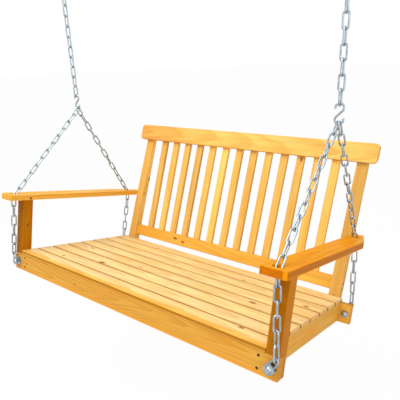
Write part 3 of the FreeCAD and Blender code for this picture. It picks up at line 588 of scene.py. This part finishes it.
def planed(bm, low, high, wander, seed):
    """Cuts a board into short lengths and lets it wander a little, as planed boards do."""
    step = (high.x - low.x) / SLAT_LENGTHS
    for number in range(1, SLAT_LENGTHS):
        bmesh.ops.bisect_plane(bm, geom=bm.verts[:] + bm.edges[:] + bm.faces[:], dist=SAME_PLACE,
                               plane_co=(low.x + number * step, 0, 0), plane_no=(1, 0, 0))
    for vertex in bm.verts:
        share = (vertex.co.x - low.x) / (high.x - low.x)
        fade = math.sin(math.pi * share)
        vertex.co.y += wander * fade * math.sin(SIDE_WAVE * share + seed)
        vertex.co.z -= wander * fade * (0.5 + 0.5 * math.sin(DOWN_WAVE * share + DOWN_SHIFT * seed))


def finish_board(name, bm, place, material, nodes):
    """Puts a board's mesh into its place and lets it stand for its nodes."""
    bmesh.ops.transform(bm, matrix=place, verts=bm.verts)
    bmesh.ops.recalc_face_normals(bm, faces=bm.faces)
    mesh = bpy.data.meshes.new(name)
    bm.to_mesh(mesh)
    bm.free()
    mesh.shade_smooth()
    mesh.set_sharp_from_angle(angle=SHARP_ANGLE)
    mesh.materials.append(material)
    piece = bpy.data.objects.new(name, mesh)
    bpy.context.scene.collection.objects.link(piece)
    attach(piece, "seat")
    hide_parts(*nodes)
    return piece


def dress(node, material, soft_edge=0.0):
    """Gives a CAD node its material, and softens its sharp edges where a width is given."""
    piece = NODES[node]
    piece.data.materials.clear()
    piece.data.materials.append(material)
    if soft_edge:
        weld = piece.modifiers.new("Weld", "WELD")
        weld.merge_threshold = SAME_PLACE
        flat = piece.modifiers.new("Flat faces", "DECIMATE")
        flat.decimate_type = "DISSOLVE"
        flat.angle_limit = FLAT_ANGLE
        bevel = piece.modifiers.new("Soft edges", "BEVEL")
        bevel.width = soft_edge
        bevel.segments = 2
        bevel.limit_method = "ANGLE"
        bevel.angle_limit = SHARP_ANGLE
        bevel.harden_normals = True


# Pieces

class SWING_OT_seat_slats(bpy.types.Operator):
    """Make the eight seat slats"""
    bl_idname = "swing.seat_slats"
    bl_label = "Seat slats"

    def execute(self, context):
        wood = context.scene.swing.wood
        for number, node in enumerate(SEAT_SLATS, 1):
            first = number == 1
            bm = self.board(context.scene.swing.shape, node, number)
            material = pine("seat_slat_pine_%d" % number, node, SEAT, "X", wood.pale, 2.0 + number,
                            SEAT_SLAT_SHADES[number - 1], 0.55, 0.9 + 0.05 * (number % 3),
                            0.03 + 0.012 * (number % 4), (0.0, 1.0, 0.5) if first else (0.3, 0.8, 0.5),
                            FIRST_SLAT_NOSE_SHADE_AND_VARNISH if first else SLAT_SHADOW, SLAT_REAR_EDGE_SHADE)
            finish_board("seat_slat_board_%d" % number, bm, SEAT, material, [node])
        return {"FINISHED"}

    def board(self, shape, node, number):
        """A slat with its top edges rounded, more so at the front of the seat, and its ends softened."""
        low, high = span(node, SEAT)
        bm = bmesh.new()
        block(bm, low, high)

        def top(middle, way):
            return abs(way.x) > ALONG and middle.z > high.z - NEAR_FACE

        def front(middle, way):
            return top(middle, way) and middle.y < low.y + NEAR_FACE

        def rear(middle, way):
            return top(middle, way) and middle.y > high.y - NEAR_FACE

        def end(middle, way):
            return abs(way.x) < ACROSS and abs(middle.x) > high.x - NEAR_FACE

        if number == 1:
            soften(bm, shape.nose_round, front, 5)
        soften(bm, shape.slat_round, rear if number == 1 else top)
        soften(bm, shape.board_round / 2, end, 2)
        planed(bm, low, high, shape.bow, number)
        return bm


class SWING_OT_back_slats(bpy.types.Operator):
    """Dress the thirteen back slats"""
    bl_idname = "swing.back_slats"
    bl_label = "Back slats"

    def execute(self, context):
        wood = context.scene.swing.wood
        edge = context.scene.swing.shape.board_round
        for number, node in enumerate(BACK_SLATS):
            material = pine("back_slat_pine_%02d" % (number + 1), node, BACK, "Z", wood.straw,
                            20.0 + 1.3 * number, BACK_SLAT_SHADES[number], 0.6, 0.8 + 0.1 * (number % 4),
                            0.02 + 0.015 * (number % 3), (0, 0.2, 0.5))
            dress(node, material, edge)
        return {"FINISHED"}


class SWING_OT_back_rails(bpy.types.Operator):
    """Dress the lower rail and make the top rail of the back rest"""
    bl_idname = "swing.back_rails"
    bl_label = "Back rails"

    def execute(self, context):
        shape = context.scene.swing.shape
        wood = context.scene.swing.wood
        dress("lower_back_rail", pine("lower_back_rail_pine", "lower_back_rail", BACK, "X", wood.honey, 41.0,
                                      0.95, 0.9, 1.1, 0.03))
        low, high = span("top_back_rail", BACK)
        bm = bmesh.new()
        block(bm, low, high)
        soften(bm, shape.corner, lambda middle, way: abs(way.y) > ALONG, 8)
        soften(bm, shape.board_round * 1.3, lambda middle, way: abs(way.y) < ACROSS, 3)
        material = pine("top_rail_pine", "top_back_rail", BACK, "X", wood.straw, 43.0, 1.0, 0.35, 0.8, 0.12,
                        start=TOP_RAIL_START)
        finish_board("top_rail_board", bm, BACK, material, ["top_back_rail"])
        return {"FINISHED"}


class SWING_OT_stiles(bpy.types.Operator):
    """Dress the two back stiles"""
    bl_idname = "swing.stiles"
    bl_label = "Back stiles"

    def execute(self, context):
        wood = context.scene.swing.wood
        edge = context.scene.swing.shape.board_round
        for number, side in enumerate(SIDES):
            node = "back_stile_" + side
            dress(node, pine("stile_pine_" + side, node, BACK, "Z", wood.straw, 51.0 + number,
                             STILE_SHADES[side], 0.7, 1.0, 0.04, (0, 0.3, 0.5)), edge)
        return {"FINISHED"}


class SWING_OT_seat_frame(bpy.types.Operator):
    """Dress the rails and the bearer under the seat"""
    bl_idname = "swing.seat_frame"
    bl_label = "Seat frame"

    def execute(self, context):
        honey = context.scene.swing.wood.honey
        edge = context.scene.swing.shape.board_round
        front = tuple(part * share for part, share in zip(honey, FRONT_RAIL_TONE))
        boards = {"front_rail": ("X", front, 0.80), "rear_rail": ("X", honey, 0.86),
                  "side_rail_left": ("Y", honey, 0.86), "side_rail_right": ("Y", honey, 0.86),
                  "centre_bearer": ("Y", honey, 0.95)}
        for number, (node, (grain, colour, shade)) in enumerate(boards.items()):
            # The front rail gets a painted highlight along its foot and a painted shadow under the first slat at
            # its head
            bands = {"low": FRONT_RAIL_FOOT_HIGHLIGHT, "high": FRONT_RAIL_HEAD_SHADOW} if node == "front_rail" else {}
            dress(node, pine(node + "_pine", node, SEAT, grain, colour, 61.0 + number, shade, 0.9, 0.7, 0.016,
                             **bands), edge)
        return {"FINISHED"}


class SWING_OT_arms(bpy.types.Operator):
    """Dress the arms and their posts"""
    bl_idname = "swing.arms"
    bl_label = "Arms and posts"

    def execute(self, context):
        wood = context.scene.swing.wood
        edge = context.scene.swing.shape.board_round
        # The posts' shades are painted light: the left post is darker than the right, as the light falls on them
        looks = {"left": (wood.honey, 0.80, (0.3, 0.15, 0.4), None),
                 "right": (wood.amber, 0.88, (0.1, 0.65, 1.0), RIGHT_ARM_OUTSIDE_SHADE)}
        for number, (side, (colour, post_light_and_shade, edges, outside_shade)) in enumerate(looks.items()):
            arm, post = "arm_" + side, "arm_post_" + side
            dress(arm, pine("arm_pine_" + side, arm, SEAT, "Y", colour, 71.0 + number, 1.06, 0.5, 1.2, 0.05,
                            edges, high=outside_shade), edge)
            dress(post, pine("post_pine_" + side, post, SEAT, "Z", wood.umber, 75.0 + number, post_light_and_shade,
                             1.0, 0.8, 0.02), edge)
        return {"FINISHED"}


class SWING_OT_metal(bpy.types.Operator):
    """Dress the chains, hooks, bolts and screws"""
    bl_idname = "swing.metal"
    bl_label = "Chains, hooks and fasteners"

    def execute(self, context):
        chain = zinc("chain_zinc", CHAIN_ROUGHNESS)
        bolt = zinc("bolt_zinc", BOLT_ROUGHNESS)
        black = screw_black()
        for node in NODES:
            if node.endswith("screws"):
                dress(node, black)
            elif node.startswith("chain_bolt"):
                dress(node, bolt)
            elif "chain" in node or "hook" in node or node.startswith("top_link"):
                dress(node, chain)
        return {"FINISHED"}


# Stage

class SWING_OT_stage(bpy.types.Operator):
    """Make the floor, the lamps, the world and the camera"""
    bl_idname = "swing.stage"
    bl_label = "Stage"

    def execute(self, context):
        scene = context.scene
        view = scene.swing.view
        scene.view_settings.view_transform = "Standard"
        self.floor(scene, CAD_BOX[0][2] - view.floor_drop)
        self.lamp(scene, "key", view.key_power, KEY_LAMP_SIZE, KEY_LAMP_PLACE)
        self.lamp(scene, "fill", view.fill_power, FILL_LAMP_SIZE, FILL_LAMP_PLACE)
        self.sky(scene, view.sky)
        self.camera(scene, view)
        return {"FINISHED"}

    def floor(self, scene, height):
        """Pale floor that reads white and keeps a soft shadow."""
        bm = bmesh.new()
        bmesh.ops.create_grid(bm, x_segments=1, y_segments=1, size=FLOOR_HALF)
        bmesh.ops.translate(bm, vec=(0, 0, height), verts=bm.verts)
        mesh = bpy.data.meshes.new("floor")
        bm.to_mesh(mesh)
        bm.free()
        floor = bpy.data.objects.new("floor", mesh)
        scene.collection.objects.link(floor)
        material, web, surface = new_material("floor_white")
        surface.inputs["Base Color"].default_value = FLOOR_COLOUR
        surface.inputs["Roughness"].default_value = 0.9
        glow = web.add("ShaderNodeEmission", {"Color": (1, 1, 1, 1), "Strength": 1.0})
        mixed = web.add("ShaderNodeMixShader", {0: web.times(web.eye(), FLOOR_WHITE), 1: surface.outputs[0],
                                                2: glow.outputs[0]})
        web.link(mixed.outputs[0], web.tree.nodes["Material Output"].inputs["Surface"])
        mesh.materials.append(material)

    def lamp(self, scene, name, power, size, offset):
        """Large soft lamp that looks at the middle of the seat."""
        middle = SEAT @ Vector(LIT_POINT)
        data = bpy.data.lights.new(name, "AREA")
        data.energy = power
        data.size = size
        lamp = bpy.data.objects.new(name, data)
        lamp.location = middle + Vector(offset)
        lamp.rotation_euler = (middle - lamp.location).to_track_quat("-Z", "Y").to_euler()
        scene.collection.objects.link(lamp)

    def sky(self, scene, strength):
        """Plain world light that the camera, gloss and glass see as white."""
        world = bpy.data.worlds.new("studio")
        scene.world = world
        world.use_nodes = True
        web = Weaver(world.node_tree)
        background = world.node_tree.nodes["Background"]
        background.inputs["Color"].default_value = (1, 1, 1, 1)
        web.link(web.between(web.eye(), 0.0, 1.0, strength, 1.0, False), background.inputs["Strength"])

    def camera(self, scene, view):
        """Camera of the photograph."""
        ahead = Vector((-math.sin(view.azimuth) * math.cos(view.elevation),
                        math.cos(view.azimuth) * math.cos(view.elevation), -math.sin(view.elevation)))
        right = ahead.cross(Vector((0, 0, 1))).normalized()
        turned = Matrix((right, right.cross(ahead), -ahead)).transposed() @ Matrix.Rotation(view.roll, 3, "Z")
        data = bpy.data.cameras.new("camera")
        data.sensor_width = SENSOR_WIDTH
        data.lens = view.lens
        data.shift_x, data.shift_y = view.shift
        data.clip_start = 0.01
        camera = bpy.data.objects.new("camera", data)
        camera.matrix_world = Matrix.Translation(view.place) @ turned.to_4x4()
        scene.collection.objects.link(camera)
        scene.camera = camera


class SWING_PT_panel(bpy.types.Panel):
    """Lists the pieces of the porch swing seat and their settings."""
    bl_idname = "SWING_PT_panel"
    bl_label = "Porch swing seat"
    bl_space_type = "VIEW_3D"
    bl_region_type = "UI"
    bl_category = "Porch swing"

    def draw(self, context):
        layout = self.layout
        settings = context.scene.swing
        for title in ("wood", "metal", "shape", "view"):
            group = getattr(settings, title)
            box = layout.box()
            box.label(text=title.capitalize())
            for name in group.__annotations__:
                box.prop(group, name)
        for operator in OPERATORS:
            layout.operator(operator.bl_idname)


OPERATORS = (SWING_OT_seat_slats, SWING_OT_back_slats, SWING_OT_back_rails, SWING_OT_stiles, SWING_OT_seat_frame,
             SWING_OT_arms, SWING_OT_metal, SWING_OT_stage)
CLASSES = (SwingWood, SwingMetal, SwingShape, SwingView, SwingSettings) + OPERATORS + (SWING_PT_panel,)


def register():
    """Registers the classes and the settings."""
    for item in CLASSES:
        bpy.utils.register_class(item)
    bpy.types.Scene.swing = PointerProperty(type=SwingSettings)


def unregister():
    """Removes the classes and the settings."""
    del bpy.types.Scene.swing
    for item in reversed(CLASSES):
        bpy.utils.unregister_class(item)


def main():
    """Makes every piece and the stage."""
    register()
    bpy.ops.swing.seat_slats()
    bpy.ops.swing.back_slats()
    bpy.ops.swing.back_rails()
    bpy.ops.swing.stiles()
    bpy.ops.swing.seat_frame()
    bpy.ops.swing.arms()
    bpy.ops.swing.metal()
    bpy.ops.swing.stage()


if __name__ == "__main__":
    main()
